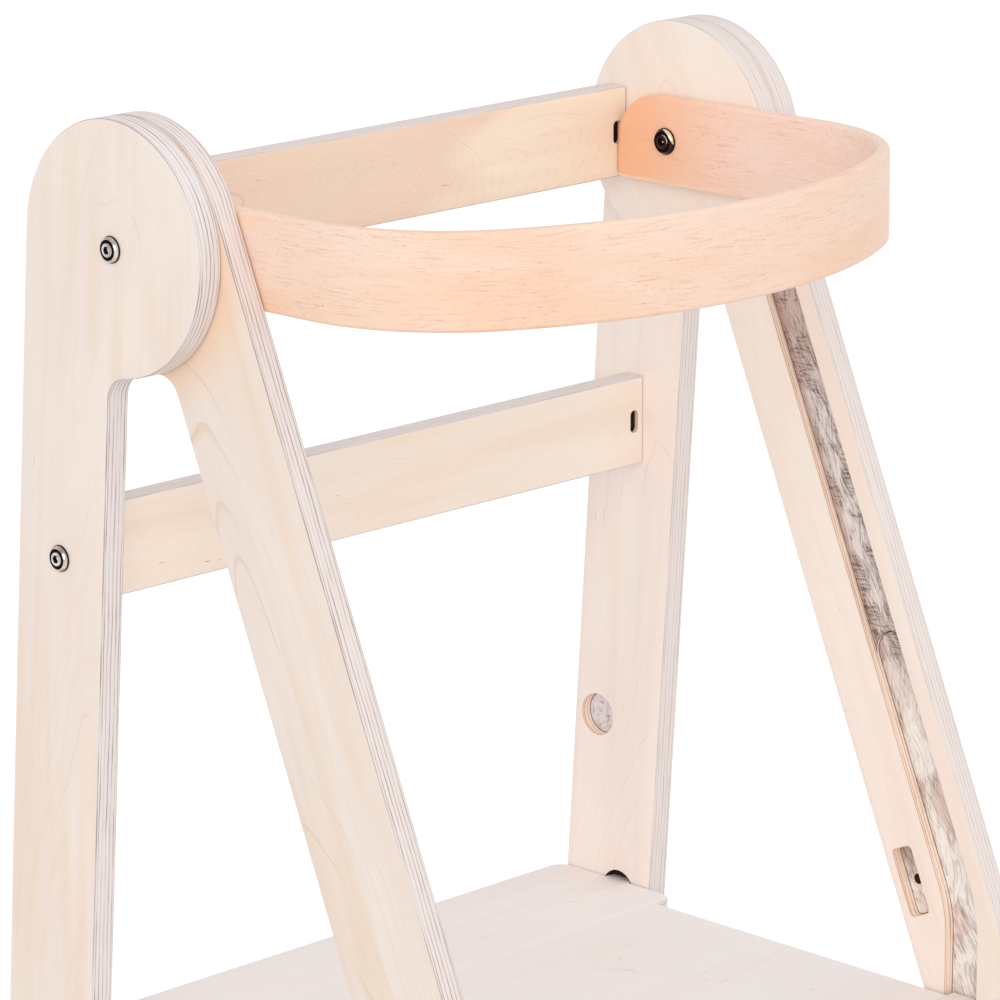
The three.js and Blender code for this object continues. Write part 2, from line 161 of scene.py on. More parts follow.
def filleted(corners, step=8):
    """A closed outline through corners given as (x, y, radius). Each becomes the arc of its radius that is
    tangent to both of its sides, centred on the corner's bisector at radius / sin(half angle)."""
    at = np.array([corner[:2] for corner in corners], float)
    runs = []
    for i, (_, _, radius) in enumerate(corners):
        here = at[i]
        if radius == 0:
            runs.append(here)
            continue
        back, ahead = at[i - 1] - here, at[(i + 1) % len(at)] - here
        back, ahead = back / np.linalg.norm(back), ahead / np.linalg.norm(ahead)
        half = math.acos(np.clip(back @ ahead, -1, 1)) / 2
        bisector = (back + ahead) / np.linalg.norm(back + ahead)
        middle = here + bisector * radius / math.sin(half)
        first = here + back * radius / math.tan(half) - middle
        start = math.atan2(first[1], first[0])
        turn = math.copysign(math.pi - 2 * half, back[0] * first[1] - back[1] * first[0])
        runs.append(arc(middle, radius, start, start + turn, step))
    return joined(*runs)


def rounded_rectangle(width, height, radius, centre=(0, 0)):
    """Starts at the lower end of its left side and ends at that side's upper end."""
    x, y = width / 2, height / 2
    corners = [(-x, -y, radius), (x, -y, radius), (x, y, radius), (-x, y, radius)]
    return filleted(corners, 15) + np.array(centre)


def nut_slot(x, y):
    return rounded_rectangle(*NUT_SLOT, NUT_SLOT[0] / 2 - SEAT_GAP, (x, y))


def inset(loop, distance):
    """Each point moves along its mitre, the sum of the two sides' inward normals over 1 + their product."""
    side = np.roll(loop, -1, axis=0) - loop
    normal = np.stack([-side[:, 1], side[:, 0]], 1) / np.linalg.norm(side, axis=1, keepdims=True)
    before = np.roll(normal, 1, axis=0)
    mitre = (before + normal) / (1 + (before * normal).sum(1, keepdims=True))
    return loop + distance * mitre


def counter_clockwise(loop):
    x, y = loop.T
    area = (x * np.roll(y, -1) - np.roll(x, -1) * y).sum()
    return loop if area > 0 else loop[::-1]


# Surfaces: points on grids, closed by flat faces

class Surface:
    """A piece under construction: its points, its faces, each face's finish and whether it is smooth."""

    def __init__(self):
        self.points = np.zeros((0, 3))
        self.faces = []
        self.finishes = []
        self.smooth = []

    def add(self, points):
        """Takes the points up and returns their numbers."""
        first = len(self.points)
        self.points = np.concatenate([self.points, points])
        return np.arange(first, len(self.points))

    def face(self, corners, finish, smooth):
        self.faces.extend(corners)
        self.finishes.extend([finish] * len(corners))
        self.smooth.extend([smooth] * len(corners))

    def strip(self, rows, finish="face", closed=True, smooth=True):
        """Quads between neighbouring rows of point numbers; a closed strip also joins each row's ends."""
        rows = np.asarray(rows)
        ahead = np.roll(rows, -1, axis=1)
        quads = np.stack([rows[:-1], ahead[:-1], ahead[1:], rows[1:]], 2)
        if not closed:
            quads = quads[:, :-1]
        self.face(quads.reshape(-1, 4).tolist(), finish, smooth)

    def flat(self, loops, finish="face"):
        """Triangles that fill the first loop of point numbers and leave the other loops open."""
        order = np.concatenate(loops)
        corners = [[Vector(self.points[i]) for i in loop] for loop in loops]
        triangles = [[int(order[i]) for i in triangle] for triangle in tessellate_polygon(corners)]
        self.face(triangles, finish, False)

    def build(self, name, finish_of, place=None):
        """The surface as an object, its points moved by place into the tower's frame. finish_of gives the
        material of each word that the faces name."""
        points = self.points if place is None else place(self.points)
        mesh = bpy.data.meshes.new(name)
        mesh.from_pydata((points * MM).tolist(), [], self.faces)
        words, numbers = np.unique(self.finishes, return_inverse=True)
        mesh.polygons.foreach_set("material_index", numbers.astype(np.int32))
        mesh.polygons.foreach_set("use_smooth", np.array(self.smooth, bool))
        mesh.validate()
        turn_outwards(mesh)
        for word in words:
            mesh.materials.append(finish_of(word))
        made = bpy.data.objects.new(name, mesh)
        bpy.context.scene.collection.objects.link(made)
        return made

    def piece(self, name, body, slot, finish_of, nodes, place=None):
        """Builds the surface, makes it ride on its body and lets it stand for its CAD nodes."""
        made = self.build(name, finish_of, place)
        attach(made, body)
        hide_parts(*nodes)
        return made


def turn_outwards(mesh, weld=False):
    """Points the faces outwards and marks the sharp edges; weld first joins the points that coincide."""
    work = bmesh.new()
    work.from_mesh(mesh)
    if weld:
        bmesh.ops.remove_doubles(work, verts=work.verts, dist=WELD_METRES)
    bmesh.ops.recalc_face_normals(work, faces=work.faces)
    work.to_mesh(mesh)
    work.free()
    mesh.set_sharp_from_angle(angle=SMOOTH_LIMIT)


def at_depth(loop, depth):
    return np.column_stack([loop, np.full(len(loop), depth)])


def quarter(radius):
    """Steps round a quarter circle from a face to a wall, as (inset from the wall, depth) pairs."""
    angle = np.linspace(0, math.pi / 2, ROUND_STEPS + 1)
    return radius * (1 - np.stack([np.sin(angle), np.cos(angle)], 1))


class Board(Surface):
    """A sheet of plywood drawn in its own plane: x and y in the outline, z through it from the back face at
    -FACE to the front face at FACE, its edge rounded along both faces."""

    def __init__(self, outline):
        super().__init__()
        loop = counter_clockwise(outline)
        lower = [at_depth(inset(loop, a), b - FACE) for a, b in quarter(PLATE_EDGE)]
        upper = [at_depth(inset(loop, a), FACE - b) for a, b in quarter(PLATE_EDGE)[::-1]]
        rows = [self.add(row) for row in lower + upper]
        self.strip(rows)
        self.back = [rows[0]]
        self.front = [rows[-1]]

    def mouth(self, loop, side=1):
        """The rounded rim of a hole in the front face, or the back one for side -1. Returns its last row."""
        rows = [self.add(at_depth(inset(loop, -a), side * (FACE - b))) for a, b in quarter(ROUTED_EDGE)]
        self.strip(rows, "wall")
        holes = self.front if side > 0 else self.back
        holes.append(rows[0])
        return rows[-1]

    def sunk(self, loop, depth, side=1, wall="wall"):
        """A mouth and the wall below it. Returns the wall's foot."""
        rim = self.mouth(loop, side)
        base = self.add(at_depth(loop, side * (FACE - depth)))
        self.strip([rim, base], wall)
        return base

    def pocket(self, loop, depth, side=1, wall="wall", floor="drilled"):
        base = self.sunk(loop, depth, side, wall)
        self.flat([self.seam(base)], floor)

    def seam(self, base):
        """The dark line along a floor's foot, partly a burn from the cutter and partly painted shade in the
        crease, from its edge to the loop that it returns.
        """
        loop = self.points[base]
        inner = self.add(at_depth(inset(loop[:, :2], FLOOR_SEAM), loop[0, 2]))
        self.strip([base, inner], "scorch")
        return inner

    def groove(self, loop, first, last, step, shallow, deep):
        """A pocket in two depths: deep between the loop's points first and last, shallow elsewhere, with the
        round step between them."""
        rim = self.mouth(loop)
        upper = np.concatenate([np.arange(last, len(loop)), np.arange(first + 1)])
        lower = np.arange(first, last + 1)
        high = self.add(at_depth(loop[upper], FACE - shallow))
        low = self.add(at_depth(loop[lower], FACE - deep))
        self.strip([rim[upper], high], "wall", closed=False)
        self.strip([rim[lower], low], "wall", closed=False)
        edge = self.add(at_depth(step[1:-1], FACE - shallow))
        foot = self.add(at_depth(step[1:-1], FACE - deep))
        edge = np.concatenate([high[:1], edge, high[-1:]])
        foot = np.concatenate([low[-1:], foot, low[:1]])
        self.strip([edge, foot], "wall", closed=False)
        self.flat([self.seam(np.concatenate([high, edge[-2:0:-1]]))], "floor")
        self.flat([self.seam(np.concatenate([low, foot[1:-1]]))], "floor")

    def bore(self, loop, base):
        """A hole from a pocket's floor to the back face. The floor is filled from base to the hole."""
        upper = self.add(at_depth(loop, self.points[base[0], 2]))
        lower = self.add(at_depth(loop, -FACE))
        # the hole's wall is painted dark as shade
        self.strip([upper, lower], "scorch")
        self.back.append(lower)
        self.flat([self.seam(base), upper], "floor")

    def close(self):
        self.flat(self.front)
        self.flat(self.back)
        return self


def turned_by(angle, y, z):
    """y and z after a turn about the x axis."""
    c, s = math.cos(angle), math.sin(angle)
    return y * c - z * s, y * s + z * c


def leaning(side, plate_x, lean):
    """Takes a side plate's plane to the tower: y and z turn about the pivot, and its front face looks in."""
    def place(points):
        y, z = turned_by(lean, points[:, 0], points[:, 1])
        return np.stack([side * (plate_x - points[:, 2]), PIVOT[1] + y, PIVOT[2] + z], 1)
    return place


def in_plate(y, z, lean):
    """A point of the tower's side view, measured from the pivot, in the plane of a plate that leans."""
    return np.array(turned_by(-lean, y, z))


def box_of(node):
    """The low corner, the high corner and the middle of a CAD node's box."""
    low, high = (np.array(corner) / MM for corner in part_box(node))
    return low, high, (low + high) / 2


# Finishes

def srgb(red, green, blue):
    """A colour read as 0 to 255 in the picture's own scale, as the linear value that shaders use."""
    def linear(part):
        return part / 12.92 if part <= 0.04045 else ((part + 0.055) / 1.055) ** 2.4
    return tuple(linear(part / 255) for part in (red, green, blue))


def math_node(operation, reflected=False):
    """A method of Value that adds a Math node, with the value itself last where it is reflected."""
    def method(self, *others):
        operands = (*others, self) if reflected else (self, *others)
        return self.nodes.value("Math", {"operation": operation}, dict(enumerate(operands)))
    return method


class Value:
    """An output socket. Sums, products and the like on it add Math nodes to its tree."""

    def __init__(self, nodes, socket):
        self.nodes = nodes
        self.socket = socket

    __add__ = math_node("ADD")
    __radd__ = math_node("ADD", reflected=True)
    __sub__ = math_node("SUBTRACT")
    __rsub__ = math_node("SUBTRACT", reflected=True)
    __mul__ = math_node("MULTIPLY")
    __rmul__ = math_node("MULTIPLY", reflected=True)
    __truediv__ = math_node("DIVIDE")
    __mod__ = math_node("FLOORED_MODULO")
    __abs__ = math_node("ABSOLUTE")
    floor = math_node("FLOOR")
    least = math_node("MINIMUM")
    most = math_node("MAXIMUM")

    def step(self, low, high):
        """0 below low, 1 above high and a smooth rise between; it falls instead where low is above high."""
        span = {"interpolation_type": "SMOOTHSTEP", "clamp": True}
        falls = float(low > high)
        ends = {1: min(low, high), 2: max(low, high), 3: falls, 4: 1.0 - falls}
        return self.nodes.value("MapRange", span, {"Value": self, **ends})


class Nodes:
    """A node tree whose nodes are added by kind and whose values can be reckoned with."""

    def __init__(self, tree):
        self.tree = tree
        self.tree.nodes.clear()

    def node(self, kind, settings=None, sockets=None):
        """A node of a kind, named without its ShaderNode: its settings are set first, then its sockets."""
        made = self.tree.nodes.new(f"ShaderNode{kind}")
        for key, value in (settings or {}).items():
            setattr(made, key, value)
        for key, value in (sockets or {}).items():
            self.put(made.inputs[key], value)
        return made

    def put(self, socket, value):
        if isinstance(value, Value):
            self.tree.links.new(value.socket, socket)
        elif isinstance(value, bpy.types.NodeSocket):
            self.tree.links.new(value, socket)
        elif isinstance(value, tuple) and len(value) == 3 and socket.type == "RGBA":
            socket.default_value = (*value, 1.0)
        else:
            socket.default_value = value

    def value(self, kind, settings=None, sockets=None, output=0):
        return Value(self, self.node(kind, settings, sockets).outputs[output])

    def blend(self, mask, low, high, mode="MIX"):
        """The colour low where mask is 0 and high where it is 1."""
        settings = {"data_type": "RGBA", "blend_type": mode}
        return self.node("Mix", settings, {0: mask, 6: low, 7: high}).outputs[2]

    def layered(self, ground, *coats):
        """The ground with each coat, a mask and its colour, laid over it in turn."""
        for mask, colour in coats:
            ground = self.blend(mask, ground, colour)
        return ground

    def noise_over(self, place, scale, detail=2.0, rough=0.5, bend=0.0):
        sockets = {"Vector": place, "Scale": scale, "Detail": detail, "Roughness": rough, "Distortion": bend}
        return self.value("TexNoise", None, sockets)

    def noise(self, x, y, z, detail=2.0, rough=0.5, bend=0.0):
        place = self.node("CombineXYZ", None, {0: x, 1: y, 2: z}).outputs[0]
        return self.noise_over(place, 1.0, detail, rough, bend)

    def mixed(self, mask, low, high):
        """The shader of the node low where mask is 0 and that of high where it is 1."""
        shaders = {0: mask, 1: low.outputs[0], 2: high.outputs[0]}
        return self.node("MixShader", None, shaders).outputs[0]

    def rays(self, *kinds):
        """1 for rays of any of the kinds."""
        outputs = self.node("LightPath").outputs
        first, *others = (Value(self, outputs[f"Is {kind} Ray"]) for kind in kinds)
        for other in others:
            first = first.most(other)
        return first


class Finish(Nodes):
    """A material with one Principled shader."""

    def __init__(self, name):
        self.material = bpy.data.materials.new(name)
        self.material.use_nodes = True
        super().__init__(self.material.node_tree)
        self.shader = self.node("BsdfPrincipled")
        surface = {"Surface": self.shader.outputs[0]}
        self.output = self.node("OutputMaterial", None, surface)

    def set(self, **sockets):
        for key, value in sockets.items():
            self.put(self.shader.inputs[key.replace("_", " ")], value)

    def bump(self, height, strength, distance):
        sockets = {"Height": height, "Strength": strength, "Distance": distance}
        self.set(Normal=self.node("Bump", None, sockets).outputs[0])


class Wood(Finish):
    """A board's finish in coordinates from the board's middle, in millimetres: across the grain, along it
    and through the sheet, as axes names them."""

    def __init__(self, name, centre, turn, axes, seed):
        super().__init__(name)
        self.seed = seed
        move = Matrix.Rotation(-turn, 3, "X") @ Vector(centre) * -MM
        place = self.node("TexCoord").outputs["Object"]
        moves = {"Vector": place, "Location": tuple(move), "Rotation": (-turn, 0.0, 0.0)}
        settled = self.node("Mapping", None, moves)
        parts = self.node("SeparateXYZ", None, {0: settled.outputs[0]}).outputs
        self.across, self.along, self.through = (Value(self, parts["XYZ".index(axis)]) / MM for axis in axes)

    def patches(self, across, along, shift=0.0, detail=2.0, rough=0.5, bend=0.0):
        """Noise of so many waves for each millimetre across and along, different for each seed and shift."""
        return self.noise(self.across * across, self.along * along, self.seed + shift, detail, rough, bend)


# Colours of the woods, read off the daylight faces
STRAW = srgb(251, 238, 220)
FIGURE = srgb(236, 216, 200)
HAIRLINE = srgb(160, 118, 92)
FLAME = srgb(230, 196, 160)
# painted bounce light beside the heads
PAINTED_BOUNCE_LIGHT = srgb(255, 212, 168)
CROSS_PLY = srgb(232, 217, 213)
GLUE = srgb(156, 124, 112)
SPLIT = srgb(78, 62, 58)
WALL_PLY = srgb(255, 240, 226)
WALL_BAND = srgb(248, 214, 188)
WALL_GLUE = srgb(206, 146, 108)
FLOOR_PALE = srgb(240, 232, 228)
FLOOR_DARK = srgb(221, 209, 204)
FLOOR_CREAM = srgb(255, 249, 242)
FLOOR_PINK = srgb(222, 186, 172)
FLOOR_BROWN = srgb(178, 138, 122)
DRILLED_PALE = srgb(240, 234, 237)
DRILLED_GREY = srgb(216, 207, 209)
SMUDGE = srgb(104, 98, 104)
FIBRE = srgb(84, 62, 54)
# a dark char colour, used as painted shade in holes, slots and the tenon's pocket
BURN_AND_SHADE = srgb(70, 48, 38)
BEECH_PALE = srgb(254, 225, 205)
BEECH_WARM = srgb(254, 216, 188)
# the deep and pink tones are painted shade and warm bounce light on the bar's inner face
BEECH_SHADE_DEEP = srgb(255, 195, 154)
BEECH_BOUNCE_PINK = srgb(253, 221, 211)
BEECH_GRAIN = srgb(238, 184, 154)
BEECH_FLECK = srgb(188, 130, 98)

LACQUER = {"Coat_Weight": 0.08, "Coat_Roughness": 0.35, "Specular_IOR_Level": 0.35}
VENEER_FADE = (0.22, 0.08)
GLUE_LINE = 0.55
SCORCHED_RIM = 0.5
WALL_LINES = 0.9
# the way a painted highlight faces
PAINTED_HIGHLIGHT_WAY = (0.0, -0.7, 0.71)
DRIFT_FROM = 70.0
RING_PITCH = 75.0
CREST_WIDTH = 26.0
CREST_SWAY = 90.0
THREADS_IN_RING = 9.0


@dataclass
class Birch:
    """What tells one board from the next: two face colours, the colour of its edges, and the strengths of
    its marks, of the lines in its edges and of the painted bounce light by its head. The drift is painted
    light and shade: it moves the clouds of the face colours towards the second one, for each millimetre
    along the board from DRIFT_FROM."""
    pale: tuple
    deep: tuple
    edge: tuple
    streaks: float = 0.3
    flames: float = 0.05
    contours: float = 0.1
    threads: float = 0.025
    hairlines: float = 0.5
    lines: float = 0.5
    # glow: the strength of the painted bounce light by the head
    glow: float = 0.0
    drift: float = 0.0


NEAR_REAR = Birch(srgb(249, 236, 225), srgb(248, 232, 221), srgb(241, 234, 232),
                  streaks=0.5, flames=0.12, lines=0.9)
NEAR_FRONT = Birch(srgb(248, 234, 223), srgb(246, 229, 216), srgb(241, 230, 224),
                   streaks=0.6, flames=0.5, lines=0.85, contours=0.15, glow=0.5)
FAR_REAR = Birch(srgb(253, 240, 231), srgb(252, 237, 228), srgb(238, 228, 223), contours=0.13, lines=0.45)
FAR_FRONT = Birch(srgb(251, 239, 228), srgb(252, 236, 225), srgb(239, 228, 221), contours=0.08, lines=0.4)
# the top rail's drift paints shade towards its left end and light towards its right
TOP_RAIL = Birch(srgb(247, 220, 198), srgb(255, 238, 217), srgb(234, 222, 216),
                 flames=0.06, threads=0.08, hairlines=0.7, lines=0.4, drift=0.003)
REAR_RAIL = Birch(srgb(253, 241, 228), srgb(254, 237, 221), srgb(236, 228, 226),
                  contours=0.04, hairlines=0.9, lines=0.4)
STANDING_BOARD = Birch(srgb(251, 244, 241), srgb(251, 242, 238), srgb(243, 236, 234),
                       streaks=0.1, contours=0.12, flames=0.03, hairlines=0.7)


def growth_rings(wood):
    """Flames, contours and threads, each in patches. The rings are the whole numbers of along / RING_PITCH
    + 0.7 * (distance from a wandering crest / CREST_WIDTH)^2 + a sway. A flame darkens slowly and ends
    sharply at its ring, a contour lies half way between two rings, and broken threads run all through."""
    crest = (wood.noise(wood.along * 0.004, wood.seed, 1.0, 1.0) - 0.5) * CREST_SWAY
    off = (wood.across - crest) / CREST_WIDTH
    sway = wood.patches(0.02, 0.007, 2.0, 2.0, 0.4)
    count = wood.along / RING_PITCH + off * off * 0.7 + sway * 2.2
    part = count - count.floor()
    shown = wood.patches(0.012, 0.005, 9.0).step(0.42, 0.62)
    drawn = wood.patches(0.02, 0.012, 13.0, 1.0).step(0.48, 0.62)
    spun = wood.patches(0.4, 0.04, 15.0, 3.0, 0.6).step(0.42, 0.6)
    thread = abs((count * THREADS_IN_RING) % 1.0 - 0.5).step(0.2, 0.03)
    flames = part.step(0.78, 0.985) * part.step(1.0, 0.985) * shown
    return flames, abs(part - 0.5).step(0.03, 0.006) * drawn, thread * spun


def painted_head_bounce(wood):
    """Mask of painted bounce light: 1 just outside the head that turns against this board, fading outwards."""
    from_head = wood.across * wood.across + wood.along * wood.along
    beyond = from_head.step((HEAD_RADIUS * 1.4) ** 2, HEAD_RADIUS ** 2)
    return beyond * from_head.step((HEAD_RADIUS * 0.99) ** 2, HEAD_RADIUS ** 2)


def veneer(wood, birch):
    """Rotary-cut birch: broad clouds of two tones, straw streaks, fine grain, growth rings, painted bounce light
    by the head and rare dark hairlines."""
    broad = wood.patches(0.02, 0.006, bend=0.3)
    # the drift is painted light and shade: darker at one end of the board, lighter at the other
    if birch.drift:
        broad = broad + (wood.along - DRIFT_FROM) * birch.drift
    warm = wood.patches(0.05, 0.004, 7.0, bend=0.3)
    streak = wood.patches(0.16, 0.006, 3.0, 3.0, 0.55, 0.2)
    grain = wood.patches(1.3, 0.045, 0.0, 3.0, 0.6)
    field = wood.patches(0.02, 0.011, 11.0, 1.0)
    lean = wood.across + wood.along * 0.12
    spindle = wood.noise(lean * 0.85, wood.along * 0.05, wood.seed + 5.0, 1.0, 0.4, 0.5)
    flames, contours, threads = growth_rings(wood)
    colour = wood.blend(broad.step(0.38, 0.62), birch.pale, birch.deep)
    colour = wood.blend(warm.step(0.45, 0.7) * birch.streaks, colour, STRAW, "MULTIPLY")
    colour = wood.layered(
        colour,
        (streak.step(0.5, 0.8) * (birch.streaks * 0.6), FIGURE),
        (grain.step(0.5, 0.85) * (0.05 + birch.streaks * 0.2), FIGURE),
        (flames * birch.flames, FLAME),
        (contours * birch.contours, HAIRLINE),
        (threads * birch.threads, HAIRLINE),
    )
    # painted warm bounce light just outside the head's circle
    if birch.glow:
        colour = wood.blend(painted_head_bounce(wood) * birch.glow, colour, PAINTED_BOUNCE_LIGHT)
    hairline = spindle.step(0.75, 0.785) * field.step(0.54, 0.64)
    return wood.blend(hairline * birch.hairlines, colour, HAIRLINE), grain


def ply_edge(wood, long_ply, cross_ply, core, lines):
    """The sheet's layers. Cross plies lie at 3/4 of each pitch, with a dark core whose strength comes and
    goes; the plies between run pale along the edge. The pitch is the sheet over half the ply count."""
    drift = wood.patches(0.02, 0.02, wood.through * 0.12, 3.0, 0.6) - 0.5
    height = (wood.through + drift * 2.4 + FACE) / (SHEET / PLY_COUNT * 2)
    pair = height.floor()
    off = abs(height - pair - 0.75)
    fibre = wood.noise(wood.across * 0.9, wood.along * 0.9, wood.through * 2.2, 2.0, 0.7)
    cloud = wood.patches(0.05, 0.05, pair * 3.7, 3.0, 0.6)
    dark = wood.patches(0.015, 0.015, pair * 5.3, 3.0, 0.6)
    wide = wood.patches(0.03, 0.03, pair * 2.9).step(0.3, 0.7)
    split = wood.patches(0.03, 0.03, pair * 9.1, 1.0)
    band = (off - wide * 0.12).step(0.2, 0.06) * (0.2 + cloud.step(0.35, 0.65) * 0.8)
    core_line = (off - wide * 0.05).step(0.13, 0.02) * (0.1 + dark.step(0.36, 0.62) * 0.8)
    colour = wood.layered(
        long_ply,
        (fibre.step(0.4, 0.75) * 0.3, cross_ply),
        (band * (0.35 + lines * 0.65), cross_ply),
        (core_line * lines, core),
        (off.step(0.09, 0.03) * split.step(0.7, 0.74) * (lines * 0.7), SPLIT),
    )
    return colour, fibre


def plywood(wood, birch):
    """Birch plywood: veneer on both faces, and layers on every edge with a glue line below the veneer."""
    face, grain = veneer(wood, birch)
    edge, fibre = ply_edge(wood, birch.edge, CROSS_PLY, GLUE, birch.lines)
    skin = abs(wood.through).step(*(FACE - depth for depth in VENEER_FADE))
    border = abs(abs(wood.through) - (FACE - GLUE_LINE)).step(0.42, 0.2)
    worn = wood.patches(0.02, 0.02)
    edge = wood.blend(border * (0.25 + worn.step(0.35, 0.65) * 0.65) * birch.lines, edge, GLUE)
    wood.set(Base_Color=wood.blend(skin, edge, face), Roughness=0.62 - grain * 0.12, **LACQUER)
    wood.bump(grain * skin + fibre * (1.0 - skin) * 1.5, 0.25, 0.0002)


def routed_wall(wood):
    """The same layers where a cutter has passed: warmer, with broad cross plies and a burnt rim."""
    edge, fibre = ply_edge(wood, WALL_PLY, WALL_BAND, WALL_GLUE, WALL_LINES)
    rim = abs(abs(wood.through) - (FACE - SCORCHED_RIM)).step(0.55, 0.1)
    colour = wood.blend(rim * 0.75, edge, WALL_GLUE)
    wood.set(Base_Color=colour, Roughness=0.6 + fibre * 0.2, Specular_IOR_Level=0.25)
    wood.bump(fibre, 0.3, 0.0002)


def routed_floor(wood):
    """The floor of the groove and of the housing: a mottled ground, brown at the groove's top and step and
    cream below the step, torn fibres whose slant wanders, clusters of cross marks above the step, and a
    brown painted shadow of the groove's rear wall along it."""
    across, along, seed = wood.across, wood.along, wood.seed
    patch = wood.patches(0.06, 0.03, 0.0, 3.0, 0.6, 0.5)
    sway = (wood.patches(0.02, 0.02, 2.0, 1.0) - 0.5) * 22.0
    strand = wood.noise((across + sway) * 0.7, along * 0.055, seed + 6.0, 3.0, 0.65)
    hair = wood.noise((across + sway + along * 0.1) * 0.7, along * 0.04, seed, 1.0)
    shard = wood.noise((across - along * 0.3) * 0.5, along * 0.03, seed + 7.0, 1.0)
    rung = wood.noise(across * 0.05, (along - across * 0.35) * 0.36, seed + 4.0, 1.0, 0.5, 0.2)
    tear = wood.patches(1.1, 0.9, 8.0, 3.0, 0.7)
    above = along.step(GROOVE_STEP - 6.0, GROOVE_STEP)
    near_top = along.step(-175.0, -130.0)
    near_step = abs(along - GROOVE_STEP + 8.0).step(34.0, 8.0)
    off_foot = along.step(-455.0, -440.0)
    rear_wall = GROOVE_AT + GROOVE_HALF
    rear_wall_shadow = (across + strand * 5.0 + above * 3.0).step(rear_wall - 2.0, rear_wall + 5.0)
    thin = abs(hair - 0.5).step(0.055, 0.012) * strand.step(0.42, 0.48)
    split = abs(shard - 0.5).step(0.045, 0.01) * patch.step(0.44, 0.52)
    marked = abs(rung - 0.5).step(0.06, 0.012) * patch.step(0.5, 0.56) * above
    scratch = (thin + split + marked * 1.2 + tear.step(0.64, 0.74) * 0.7).least(1.7)
    cream = wood.blend(patch.step(0.52, 0.6) * 0.6, FLOOR_CREAM, FLOOR_PINK)
    colour = wood.layered(
        FLOOR_PALE,
        (patch.step(0.4, 0.6), FLOOR_DARK),
        ((1.0 - above) * 0.9, cream),
        (near_top * 0.45, FLOOR_BROWN),
        (near_step * 0.25, FLOOR_BROWN),
        # painted shadow of the rear wall on the groove's floor
        (rear_wall_shadow * off_foot * 0.6, FLOOR_BROWN),
        (strand.step(0.5, 0.68) * (0.1 + above * 0.14), FLOOR_BROWN),
        (tear.step(0.48, 0.7) * (0.16 + above * 0.14), FLOOR_BROWN),
        (scratch * (0.34 + above * 0.12), FIBRE),
    )
    wood.set(Base_Color=colour, Roughness=0.8 + patch * 0.1, Specular_IOR_Level=0.2)
    wood.bump(strand * 0.4 + tear * 0.3 - scratch * 0.2, 0.4, 0.0004)


def drilled(wood):
    """The floor of a drilled pocket: pale grey, with faint turns of the cutter and a few dark smudges."""
    cloud = wood.patches(0.12, 0.12, 0.0, 3.0, 0.6, 0.8)
    turns = wood.noise(wood.across * 0.5 + cloud * 3.0, wood.along * 0.18, wood.seed + 3.0, 3.0, 0.6, 1.2)
    smudge = wood.patches(0.32, 0.26, 5.0, 2.0, 0.7, 1.0)
    colour = wood.layered(
        DRILLED_PALE,
        (cloud.step(0.4, 0.62), DRILLED_GREY),
        (turns.step(0.52, 0.7) * 0.3, FLOOR_DARK),
        (smudge.step(0.58, 0.68) * 0.6, SMUDGE),
    )
    wood.set(Base_Color=colour, Roughness=0.75 + turns * 0.12, Specular_IOR_Level=0.2)
    wood.bump(turns, 0.3, 0.0003)


def burnt_and_shaded(wood):
    """Dark char colour: painted shade on a drilled hole's wall, in the depth of a nut slot and in the pocket
    in which the platform's tenon rubs, and partly a burn and partly painted shade along a floor's foot."""
    char = wood.noise(wood.across * 0.5, wood.along * 0.5, wood.through * 1.5, 3.0, 0.65)
    colour = wood.blend(char.step(0.35, 0.7), BURN_AND_SHADE, FIBRE)
    wood.set(Base_Color=colour, Roughness=0.8 + char * 0.1, Specular_IOR_Level=0.15)
    wood.bump(char, 0.4, 0.0003)


CUT_WOOD = {"wall": routed_wall, "floor": routed_floor, "drilled": drilled, "scorch": burnt_and_shaded}


def board_finishes(name, birch, *place):
    """Makes the finish of a board that its faces name: the plywood itself, or what a cutter left in it."""
    def make(word):
        wood = Wood(f"{name}_{word}", *place)
        if word == "face":
            plywood(wood, birch)
        else:
            CUT_WOOD[word](wood)
        return wood.material
    return make


def beech():
    """Steamed beech whose pattern follows the bar by its UV map, in metres along and around. Inside the bend
    it is painted pinker as warm bounce light, and inside the arm that the map starts on painted deeper as shade."""
    finish = Finish("bent_beech")
    place = finish.node("UVMap", {"uv_map": "along"}).outputs[0]
    parts = finish.node("SeparateXYZ", None, {0: place}).outputs
    along, around = (Value(finish, parts[i]) / MM for i in (0, 1))
    cloud = finish.noise(along * 0.006, around * 0.03, 1.0, 3.0, 0.55, 0.5)
    wave = (finish.noise(along * 0.01, around * 0.04, 4.0) - 0.5) * 12.0
    grain = finish.noise(along * 0.05, (around + wave) * 0.9, 2.0, 3.0, 0.65, 0.25)
    fine = finish.noise(along * 0.12, (around + wave) * 2.2, 6.0, 2.0, 0.6)
    field = finish.noise(along * 0.02, around * 0.06, 9.0)
    fleck = finish.noise(along * 0.25, (around + wave) * 2.4, 8.0, 1.0, 0.5, 0.3)
    inside = around.step(BAR_THICKNESS + BAR_HEIGHT, BAR_THICKNESS * 2 + BAR_HEIGHT)
    shaded_arm = along.step(110.0, 10.0)
    busy = 0.45 + field.step(0.38, 0.62) * 0.55
    colour = finish.layered(
        BEECH_PALE,
        (cloud.step(0.36, 0.66), BEECH_WARM),
        # painted warm bounce light inside the bend, and painted shade inside the first arm
        (inside * 0.5, BEECH_BOUNCE_PINK),
        (shaded_arm * inside, BEECH_SHADE_DEEP),
        (grain.step(0.5, 0.7) * busy * 0.65, BEECH_GRAIN),
        (fine.step(0.54, 0.74) * busy * 0.55, BEECH_GRAIN),
        (fleck.step(0.67, 0.75) * busy * 0.8, BEECH_FLECK),
    )
    finish.set(Base_Color=colour, Roughness=0.55 - grain * 0.12, **LACQUER)
    finish.bump(grain + fine * 0.5, 0.3, 0.0002)
    return finish.material


